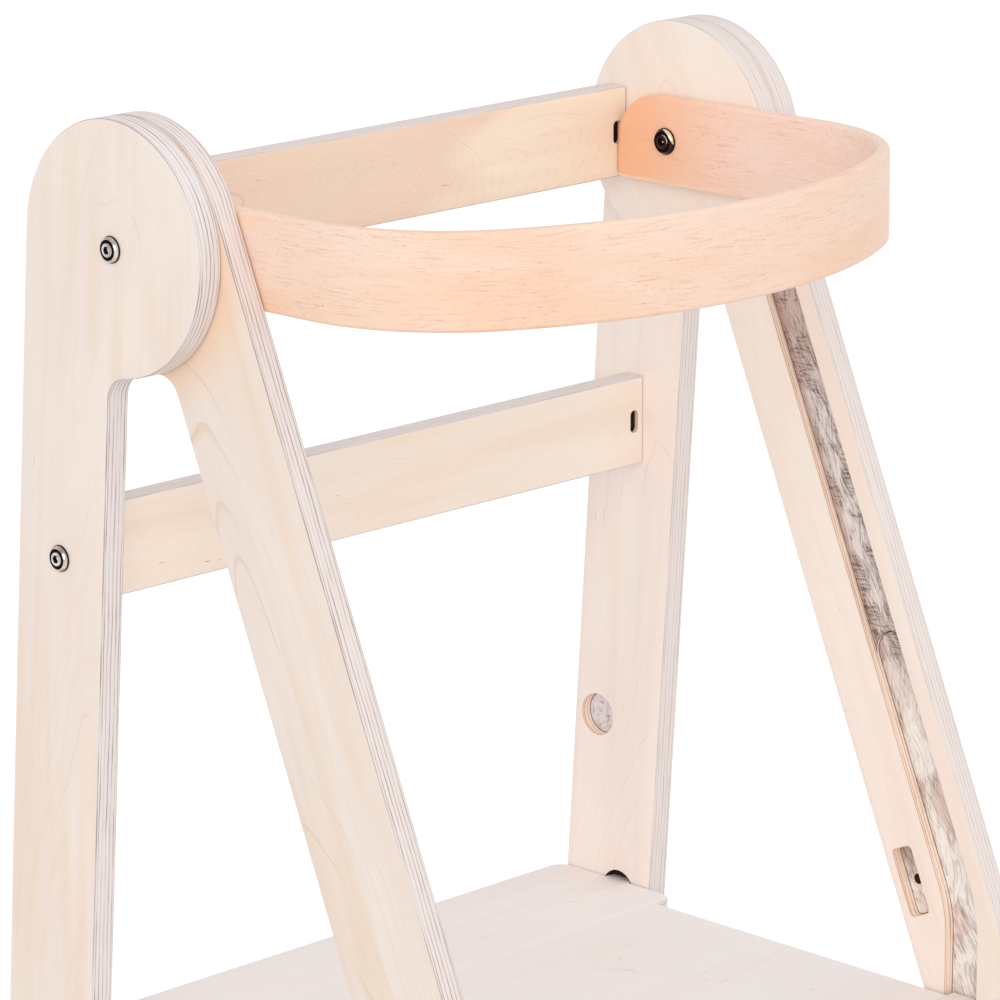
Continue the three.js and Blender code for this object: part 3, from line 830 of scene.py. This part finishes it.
def metal(name, colour, worn, rough, metallic=1.0, painted_highlight_colour=None, gloss=0.5):
    """Plated steel: a base that clouds towards a worn tone, with fine turning marks in its gloss. A painted
    highlight, when given, is a colour blended in where the surface faces up and to the front."""
    finish = Finish(name)
    place = finish.node("TexCoord").outputs["Object"]
    cloud = finish.noise_over(place, 220.0, 3.0, 0.6)
    mark = finish.noise_over(place, 1600.0, 2.0, 0.7)
    base = finish.blend(cloud.step(0.4, 0.7), colour, worn)
    if painted_highlight_colour:
        facing = finish.node("NewGeometry").outputs["Normal"]
        sockets = {0: facing, 1: PAINTED_HIGHLIGHT_WAY}
        lit = finish.value("VectorMath", {"operation": "DOT_PRODUCT"}, sockets, "Value")
        base = finish.blend(lit.step(0.56, 0.66), base, painted_highlight_colour)
    finish.set(Base_Color=base, Metallic=metallic, Roughness=rough + mark * 0.12, Specular_IOR_Level=gloss)
    finish.bump(mark, 0.08, 0.00005)
    return finish.material


CHROME = metal("bright_chrome", srgb(220, 211, 205), srgb(160, 150, 144), 0.1)
# the heads' seat band: dark colour painted as the reflection of dark surroundings
CHROME_DARK_REFLECTION = metal("chrome_rim_painted_reflection", srgb(44, 36, 38), srgb(22, 17, 19), 0.5, 0.3, gloss=0.2)
# near-black painted shade and dark reflection for the heads' ring and sockets
PAINTED_SHADE_BLACK = metal("socket_painted_shade", srgb(16, 12, 16), srgb(9, 7, 9), 0.6, 0.0, gloss=0.08)
# the bronze heads carry a painted highlight where they face up and to the front
BRONZE = metal("dark_bronze", srgb(62, 40, 36), srgb(36, 25, 25), 0.16, 0.9, srgb(250, 232, 205))
# the same painted dark reflection on the bronze heads' seat band
BRONZE_DARK_REFLECTION = metal("bronze_rim_painted_reflection", srgb(24, 15, 14), srgb(14, 9, 9), 0.5, 0.2)
# a near-white spot painted as the highlight on a socket's floor
PAINTED_POINT_LIGHT = metal("painted_point_light", srgb(255, 250, 240), srgb(250, 240, 226), 0.3)
# the nuts' zinc darkened as painted shade for the depth of their slots
PAINTED_SHADE_ZINC = metal("zinc_painted_shade", srgb(58, 50, 48), srgb(34, 28, 28), 0.5, 0.8)
BEECH = beech()


# Side plates

def plate_outline(facing, lean):
    """A full circle round the pivot, a leg whose one long edge is tangent to it, and a fillet from the
    circle into the other edge. facing is 1 for a leg along the circle's rear and -1 along its front."""
    free = HEAD_RADIUS - LEG_WIDTH
    reach = math.sqrt((HEAD_RADIUS + LEG_FILLET) ** 2 - (free - LEG_FILLET) ** 2)
    middle = np.array([free - LEG_FILLET, -reach])
    inward = math.atan2(-middle[1], -middle[0])

    def foot(y):
        return (-PIVOT[2] - y * math.sin(abs(lean))) / math.cos(lean)
    leg = filleted([(free, -reach, 0), (free, foot(free), FOOT_CORNER),
                    (HEAD_RADIUS, foot(HEAD_RADIUS), FOOT_CORNER), (HEAD_RADIUS, 0, 0)])
    head = arc((0, 0), HEAD_RADIUS, 0, inward + math.pi)
    fillet = arc(middle, LEG_FILLET, inward, 0, 8)
    return joined(leg, head, fillet) * [facing, 1]


def stand(board, place, side, plate_x, lean, seed, birch):
    """Closes a side plate of the rear or front frame, as place says, and stands it in the tower."""
    name = f"{place}_plate_{WORDS[side]}"
    centre = (side * plate_x, PIVOT[1], PIVOT[2])
    finishes = board_finishes(f"{name}_birch", birch, centre, lean, "YZX", seed)
    board.close().piece(name, f"{place}_frame", "birch_plywood", finishes,
                        [f"{place}_side_plate_{WORDS[side]}"], leaning(side, plate_x, lean))


def rear_plate(side, seed, birch):
    """A rear plate. The lower pocket, in which the platform's tenon sits, has its wall and floor painted dark
    as shade; the upper one is fresh.
    """
    board = Board(plate_outline(1, REAR_LEAN))
    y, z = TENON_AXIS[1:] - PIVOT[1:]
    lower = in_plate(y, z, REAR_LEAN)
    upper = in_plate(y + POCKET_STEP[0], z + POCKET_STEP[1], REAR_LEAN)
    board.pocket(ring(lower, POCKET_RADIUS), POCKET_DEPTH, wall="scorch", floor="scorch")
    board.pocket(ring(upper, POCKET_RADIUS), POCKET_DEPTH)
    stand(board, "rear", side, OUTER_PLATE, REAR_LEAN, seed, birch)


def groove_outline():
    """The groove's edge, the numbers of its two points where the deeper part starts, and that part's round
    end. The groove runs along the leg and bends to hang plumb round the platform's tenon."""
    y, z = TENON_AXIS[1:] - PIVOT[1:]
    rest = in_plate(y - TENON_SPAN, z, FRONT_LEAN)
    bend = -FRONT_LEAN
    corner = rest[1] - (GROOVE_AT - rest[0]) / math.tan(bend)
    about = (GROOVE_AT + GROOVE_BEND, corner + GROOVE_BEND * math.tan(bend / 2))
    top = arc((GROOVE_AT, GROOVE_TOP), GROOVE_HALF, 0, math.pi, 10)
    step = arc((GROOVE_AT, GROOVE_STEP), GROOVE_HALF, 0, math.pi, 10)
    right, left = step[0], step[-1]
    outer = arc(about, GROOVE_BEND + GROOVE_HALF, math.pi, math.pi + bend)
    base = arc(rest, GROOVE_HALF, math.pi + bend, 2 * math.pi + bend, 10)
    inner = arc(about, GROOVE_BEND - GROOVE_HALF, math.pi + bend, math.pi)
    loop = joined(top, left, outer, base, inner, right)
    return loop, len(top), len(loop) - 1, step


def front_plate(side, seed, birch):
    """A front plate: the groove and the housing inside, and outside the recess for the top rail's bolt."""
    board = Board(plate_outline(-1, FRONT_LEAN))
    board.groove(*groove_outline(), GROOVE_SHALLOW, POCKET_DEPTH)
    base = board.sunk(rounded_rectangle(*HOUSING_SIZE, HOUSING_CORNER, HOUSING_AT), POCKET_DEPTH)
    board.bore(ring(HOUSING_AT, HOUSING_HOLE, 15), base)
    top_bolt = in_plate(TOP_RAIL_SETBACK + FACE, 0, FRONT_LEAN)
    board.pocket(ring(top_bolt, HEAD_RECESS_RADIUS), HEAD_RECESS, side=-1)
    stand(board, "front", side, INNER_PLATE, FRONT_LEAN, seed, birch)


# Cross pieces

def rail(node, body, seed, birch):
    """A rounded section, which starts and ends on the front face, carried straight across between the
    plates. The ends' edges are broken, and nut slots are cut in the front face."""
    low, high, middle = box_of(node)
    front, half = low[1], high[0]
    section = rounded_rectangle(SHEET, RAIL_HEIGHT, RAIL_ROUND, middle[1:])
    slim = inset(section, RAIL_END_BREAK)
    whole = half - RAIL_END_BREAK
    surface = Surface()
    runs = [(-half, slim), (-whole, section), (whole, section), (half, slim)]
    rows = [surface.add(np.column_stack([np.full(len(run), x), run])) for x, run in runs]
    surface.strip(rows[:2], "wall")
    surface.strip(rows[1:3], closed=False)
    surface.strip(rows[2:], "wall")
    surface.flat([rows[0]])
    surface.flat([rows[3]])
    face = [np.array([rows[1][-1], rows[2][-1], rows[2][0], rows[1][0]])]
    for side in WORDS:
        loop = nut_slot(side * (half - NUT_SLOT_INSET), middle[2])
        levels = [(inset(loop, -a), front + b) for a, b in quarter(ROUTED_EDGE)]
        levels += [(loop, front + NUT_SLOT_LIP), (loop, front + NUT_SLOT_DEPTH)]
        rings = [surface.add(np.insert(lip, 1, y, axis=1)) for lip, y in levels]
        surface.strip(rings[:-1], "wall")
        # below the lip the slot's wall and floor are painted dark as shade
        surface.strip(rings[-2:], "scorch")
        surface.flat([rings[-1]], "scorch")
        face.append(rings[0])
    surface.flat(face)
    finishes = board_finishes(f"{node}_birch", birch, tuple(middle), 0.0, "ZXY", seed)
    surface.piece(f"{node}_dressed", body, "birch_plywood", finishes, [node])


def lay(board, name, body, seed):
    """Closes a level board and lays it at the height of its CAD node."""
    middle = box_of(f"{name}_board")[2]
    finishes = board_finishes(f"{name}_birch", STANDING_BOARD, tuple(middle), 0.0, "YXZ", seed)
    board.close().piece(f"{name}_dressed", body, "birch_plywood", finishes, [f"{name}_board"],
                        lambda points: points + [0, 0, middle[2]])


def platform():
    """The standing board: ears between the rear plates, a narrower front between the front plates, and
    tenons on both, of which the front ones reach into the grooves."""
    low, high, _ = box_of("platform_board")
    ear = BETWEEN_OUTER - RUNNING_GAP
    rear_tip = BETWEEN_OUTER + POCKET_DEPTH - RUNNING_GAP
    flank = BETWEEN_INNER - FLANK_GAP
    front_tip = BETWEEN_INNER + GROOVE_SHALLOW - RUNNING_GAP
    rear = TENON_AXIS[1]
    front = rear - TENON_SPAN
    half = [
        (ear, high[1], EAR_CORNER),
        (ear, rear + REAR_TENON_HALF, 0),
        (rear_tip, rear + REAR_TENON_HALF, TENON_CORNER),
        (rear_tip, rear - REAR_TENON_HALF, TENON_CORNER),
        (ear, rear - REAR_TENON_HALF, 0),
        (ear, rear - EAR_REACH, EAR_CORNER),
        (flank, rear - EAR_REACH, FLANK_FILLET),
        (flank, front + FRONT_TENON_HALF, 0),
        (front_tip, front + FRONT_TENON_HALF, TENON_CORNER),
        (front_tip, front - FRONT_TENON_HALF, TENON_CORNER),
        (flank, front - FRONT_TENON_HALF, 0),
        (flank, low[1], PLATFORM_CORNER),
    ]
    outline = filleted(half + [(-x, y, radius) for x, y, radius in half[::-1]])
    lay(Board(outline), "platform", "platform", 5.0)


def step():
    """The climbing step, with the nut slots in its underside and rounded front corners."""
    (_, front, _), (half, rear, _), _ = box_of("step_board")
    board = Board(filleted([(-half, rear, 0), (-half, front, STEP_CORNER),
                            (half, front, STEP_CORNER), (half, rear, 0)]))
    for node in ("step_front_nut", "step_rear_nut"):
        for word in WORDS.values():
            nut = box_of(f"{node}_{word}")[2]
            # the floors of the nut slots are painted dark as shade
            board.pocket(nut_slot(*nut[:2]), NUT_SLOT_DEPTH, side=-1, floor="scorch")
    lay(board, "step", "front_frame", 8.0)


# Safety bar

def eased(radius, count):
    """Distances from a corner circle's end that lie closer together towards it."""
    return radius * (1 - np.cos(np.linspace(0, math.pi / 2, count)))


def bar_path():
    """The bar's middle line in plan, with straight arms, tight corners and a long shallow front; its outward
    normals; and each point's distance in front of the arms' ends."""
    arm = BETWEEN_INNER - RUNNING_GAP
    corner_x = arm - BAR_CORNER_RADIUS
    front_y = BAR_FRONT_RADIUS - BAR_REACH
    corner_y = front_y - math.sqrt((BAR_FRONT_RADIUS - BAR_CORNER_RADIUS) ** 2 - corner_x ** 2)
    meet = math.atan2(corner_y - front_y, corner_x)
    end = TOP_RAIL_SETBACK - SEAT_GAP
    fade = end - np.union1d(eased(BAR_TOP_CORNER, BAR_TOP_STEPS), eased(BAR_EDGE, BAR_EDGE_STEPS))
    arm_y = np.concatenate([fade, np.linspace(fade[-1], corner_y, BAR_ARM_STEPS)[1:-1]])
    straight = np.column_stack([np.full(len(arm_y), arm), arm_y])
    corner = arc((corner_x, corner_y), BAR_CORNER_RADIUS, 0, meet, 2.5)
    front = arc((0, front_y), BAR_FRONT_RADIUS, meet, -math.pi / 2, 1)
    right = joined(straight, corner, front)
    outside = np.concatenate([right, (right * [-1, 1])[-2::-1]])
    ahead = np.gradient(outside, axis=0)
    ahead /= np.linalg.norm(ahead, axis=1, keepdims=True)
    normal = np.stack([-ahead[:, 1], ahead[:, 0]], 1)
    normal *= np.sign((normal * (outside - [0, front_y])).sum(1, keepdims=True))
    return outside - normal * BAR_THICKNESS / 2, normal, end - outside[:, 1]


def run_along(points):
    """Each point's distance from the first, measured along the row."""
    return np.concatenate([[0], np.cumsum(np.linalg.norm(np.diff(points, axis=0), axis=1))])


def safety_bar():
    """A rounded rectangle carried along the bar's path. Near each arm's end its top and bottom follow the
    end's corner circles, z = top - R + sqrt(R^2 - (R - distance from the end)^2)."""
    path, normal, to_end = bar_path()
    section = rounded_rectangle(BAR_THICKNESS, BAR_HEIGHT, BAR_EDGE)

    def drop(radius):
        near = np.clip(radius - to_end, 0, radius)
        return (radius - np.sqrt(np.maximum(radius ** 2 - near ** 2, 0)))[:, None]
    across, up = section.T
    out = np.sign(across) * np.maximum(np.abs(across) - drop(BAR_EDGE), BAR_LEAST_HALF)
    y, z = turned_by(
        BAR_TILT,
        path[:, 1:] + normal[:, 1:] * out,
        up + np.where(up > 0, -drop(BAR_TOP_CORNER), drop(BAR_BOTTOM_CORNER)),
    )
    points = np.stack([path[:, :1] + normal[:, :1] * out, PIVOT[1] + y, PIVOT[2] + z], 2)
    surface = Surface()
    rows = surface.add(points.reshape(-1, 3)).reshape(points.shape[:2])
    surface.strip(rows)
    surface.flat([rows[0]])
    surface.flat([rows[-1]])
    made = surface.piece("safety_bar_bent", "safety_bar", "beech", {"face": BEECH}.get, ["safety_bar"])
    girth = run_along(np.concatenate([section, section[:1]]))
    lay_along(made, np.repeat(run_along(path), len(section)), np.tile(girth[:-1], len(path)), girth[-1])


def lay_along(made, along, around, girth):
    """Writes the UV map that the beech reads: each point's distance along and around the bar. The faces that
    close the section run on to the full girth, not back to 0."""
    mesh = made.data
    layer = mesh.uv_layers.new(name="along")
    corner = np.zeros(len(mesh.loops), np.int32)
    mesh.loops.foreach_get("vertex_index", corner)
    places = np.stack([along[corner], around[corner]], 1)
    sizes = np.zeros(len(mesh.polygons), np.int32)
    mesh.polygons.foreach_get("loop_total", sizes)
    face = np.repeat(np.arange(len(sizes)), sizes)
    widest = np.zeros(len(sizes))
    np.maximum.at(widest, face, places[:, 1])
    places[(widest[face] > girth / 2) & (places[:, 1] == 0), 1] = girth
    layer.data.foreach_set("uv", (places * MM).astype(np.float32).ravel())


# Fasteners

# The head from its seat to its crown, as each finish and its points (in from the edge, up from the seat)
HEAD_PROFILE = (
    # rim: the steep seat band, painted dark as a reflection
    ("rim", (0, 0), (0, 0.15), (0.45, 0.2), (0.45, 0.85)),
    ("face", (0.45, 0.85), (0.7, 1.6), (1.15, 2.3), (1.75, 2.75)),
    # ring: the groove round the collar, painted black as shade and dark reflection
    ("ring", (1.75, 2.75), (2.0, 2.4), (3.3, 2.4), (3.55, 2.9)),
    ("face", (3.55, 2.9), (3.75, HEAD_HEIGHT - 0.1), (4.1, HEAD_HEIGHT)),
)
CHROMED = {"face": CHROME, "rim": CHROME_DARK_REFLECTION, "ring": PAINTED_SHADE_BLACK, "socket": CHROME, "point": PAINTED_POINT_LIGHT}
BRONZED = {**CHROMED, "face": BRONZE, "rim": BRONZE_DARK_REFLECTION, "socket": PAINTED_SHADE_BLACK}

# What a fastener's name holds: its slot, the widths of its head and its shank, and its finishes
HEADED = {
    "_bolt_": ("chromed_steel", 15.0, 6.0, CHROMED),
    "_sleeve_": ("chromed_steel", 15.0, 9.6, CHROMED),
    "_screw_": ("blackened_steel", 16.0, 6.0, BRONZED),
}


def round_points(sides):
    angle = np.linspace(0, 2 * math.pi, sides, endpoint=False)
    return np.stack([np.cos(angle), np.sin(angle)], 1)


def turned(surface, profile, sides, finish="face"):
    """Rows of points at each (radius, height) of the profile, turned about the z axis."""
    rows = [surface.add(at_depth(radius * round_points(sides), height)) for radius, height in profile]
    surface.strip(rows, finish)
    return rows


def headed(node, body, slot, head, shank, finishes):
    """A turned head on a shank, with a dark seat band of painted reflection, a black ring of painted shade
    round a raised collar, and a hexagon socket in the collar whose walls, and on a pivot screw its floor,
    are painted black as shade, with a point of painted highlight on its floor. The CAD node's box gives its
    place and length. A pivot screw's head looks in, every other one's out."""
    low, high, middle = box_of(node)
    length = high[0] - low[0]
    outwards = 1 if (abs(high[0]) > abs(low[0])) != ("_screw_" in node) else -1
    start = low[0] if outwards > 0 else high[0]
    base = length - HEAD_HEIGHT
    edge = head / 2
    surface = Surface()
    foot = turned(surface, [(shank / 2, 0), (shank / 2, base), (edge, base)], HEAD_SIDES)
    for finish, *profile in HEAD_PROFILE:
        rows = turned(surface, [(edge - a, base + b) for a, b in profile], HEAD_SIDES, finish)
    hexagon = SOCKET_RADIUS * round_points(6)
    sunk = length - SOCKET_DEPTH
    mouth = surface.add(at_depth(hexagon, length))
    floor = surface.add(at_depth(hexagon * SOCKET_TAPER, sunk))
    point = surface.add(at_depth(ring((0, 0), SOCKET_POINT, 30), sunk))
    # the socket's walls are painted black as shade
    surface.strip([mouth, floor], "ring", smooth=False)
    surface.flat([floor, point], "socket")
    # the point on the socket's floor is a painted highlight
    surface.flat([point], "point")
    surface.flat([rows[-1], mouth])
    surface.flat([foot[0]])

    def place(points):
        across, up, along = points.T
        return np.stack([start + outwards * along, middle[1] + across, middle[2] + up], 1)
    made = surface.piece(f"{node}_head", body, slot, finishes.get, [node], place)
    turn_outwards(made.data, weld=True)


# Building

rear_plate(-1, 1.0, NEAR_REAR)
rear_plate(1, 2.0, FAR_REAR)
front_plate(-1, 3.0, NEAR_FRONT)
front_plate(1, 4.0, FAR_FRONT)
rail("top_rail", "front_frame", 6.0, TOP_RAIL)
rail("middle_rear_rail", "rear_frame", 7.0, REAR_RAIL)
rail("lower_rear_rail", "rear_frame", 9.0, REAR_RAIL)
rail("step_rail", "front_frame", 10.0, REAR_RAIL)
platform()
step()
safety_bar()

bodies = frame["record"]["behaviour"]["bodies"]
body_of = {node: body for body, members in bodies.items() for node in members}
for node, solid in frame["nodes"].items():
    for word, settings in HEADED.items():
        if word in node:
            headed(node, body_of[node], *settings)
    solid.data.materials.clear()
    # nuts take the zinc darkened as painted shade
    solid.data.materials.append(PAINTED_SHADE_ZINC if "_nut_" in node else CHROME)


# Floor, light and camera

FLOOR_RADII = (400.0, 1500.0, 6000.0, 30000.0)
FLOOR_SIDES = 64
FLOOR_TONES = (0.8, 0.8, 0.8), (0.78, 0.78, 0.78)
FLOOR_BELOW = 0.2
FLOOR_GLOW = 0.34
DOME_COLOUR = (0.98, 0.985, 1.0)
DOME_STRENGTH = 0.8
WHITE = (1.0, 1.0, 1.0)

# Each sun's name, strength, colour, spread in degrees and the way its light goes
SUNS = (
    ("window", 0.86, (1.0, 0.985, 0.96), 50, (0.70, 0.62, -0.34)),
    ("reflector", 0.24, (1.0, 0.97, 0.95), 60, (-0.62, 0.62, -0.48)),
)

# The camera's turns in degrees, its focal length in pixels and its place from the pivot in metres
CAMERA_TURNS = (45.02, 14.6176, -0.1264)
CAMERA_FOCAL = 5314.81
CAMERA_PLACE = (-2.04019, -2.09571, 0.58194)
PICTURE_WIDTH = 1000
SENSOR_WIDTH = 36
SIGHT_METRES = 100


def studio_floor():
    """A wide disc of pale floor that keeps the tower's shadow and else looks as white as the backdrop."""
    finish = Finish("studio_floor")
    grit = finish.noise_over(finish.node("TexCoord").outputs["Object"], 60.0)
    colour = finish.blend(grit, *FLOOR_TONES)
    finish.set(Base_Color=colour, Roughness=0.9, Specular_IOR_Level=0.0)
    glow = finish.node("Emission", None, {"Color": WHITE, "Strength": FLOOR_GLOW})
    both = finish.node("AddShader", None, {0: finish.shader.outputs[0], 1: glow.outputs[0]})
    seen = finish.rays("Camera", "Glossy", "Transmission")
    finish.put(finish.output.inputs["Surface"], finish.mixed(seen, finish.shader, both))
    surface = Surface()
    rings = turned(surface, [(radius, -FLOOR_BELOW) for radius in FLOOR_RADII], FLOOR_SIDES)
    surface.flat([rings[0]])
    made = surface.build("studio_floor", {"face": finish.material}.get)
    if made.data.polygons[0].normal.z < 0:
        made.data.flip_normals()


def daylight():
    """A white dome that looks pure white itself, a broad soft sun from the front left and a weaker one from
    the front right."""
    world = bpy.data.worlds.new("white_room")
    bpy.context.scene.world = world
    world.use_nodes = True
    nodes = Nodes(world.node_tree)
    light = nodes.node("Background", None, {"Color": DOME_COLOUR, "Strength": DOME_STRENGTH})
    white = nodes.node("Background", None, {"Color": WHITE, "Strength": 1.0})
    shown = nodes.mixed(nodes.rays("Camera", "Transmission"), light, white)
    nodes.node("OutputWorld", None, {"Surface": shown})
    for name, strength, colour, spread, towards in SUNS:
        lamp = bpy.data.lights.new(name, "SUN")
        lamp.energy = strength
        lamp.color = colour
        lamp.angle = math.radians(spread)
        made = bpy.data.objects.new(name, lamp)
        made.rotation_euler = Vector(towards).to_track_quat("-Z", "Y").to_euler()
        bpy.context.scene.collection.objects.link(made)


def camera():
    """The picture's own viewpoint, solved from the plates' and rails' edges."""
    yaw, pitch, roll = (math.radians(angle) for angle in CAMERA_TURNS)
    ahead = Vector((math.sin(yaw) * math.cos(pitch), math.cos(yaw) * math.cos(pitch), -math.sin(pitch)))
    level = Vector((math.cos(yaw), -math.sin(yaw), 0))
    upright = level.cross(ahead)
    right = math.cos(roll) * level + math.sin(roll) * upright
    up = math.cos(roll) * upright - math.sin(roll) * level
    data = bpy.data.cameras.new("camera")
    data.sensor_width = SENSOR_WIDTH
    data.lens = CAMERA_FOCAL / PICTURE_WIDTH * SENSOR_WIDTH
    data.clip_end = SIGHT_METRES
    made = bpy.data.objects.new("camera", data)
    turn = Matrix((right, up, -ahead)).transposed().to_4x4()
    place = Vector(PIVOT * MM) + Vector(CAMERA_PLACE)
    made.matrix_world = Matrix.Translation(place) @ turn
    bpy.context.scene.collection.objects.link(made)
    bpy.context.scene.camera = made


studio_floor()
daylight()
camera()
bpy.context.scene.view_settings.view_transform = "Standard"

bpy.context.view_layer.update()
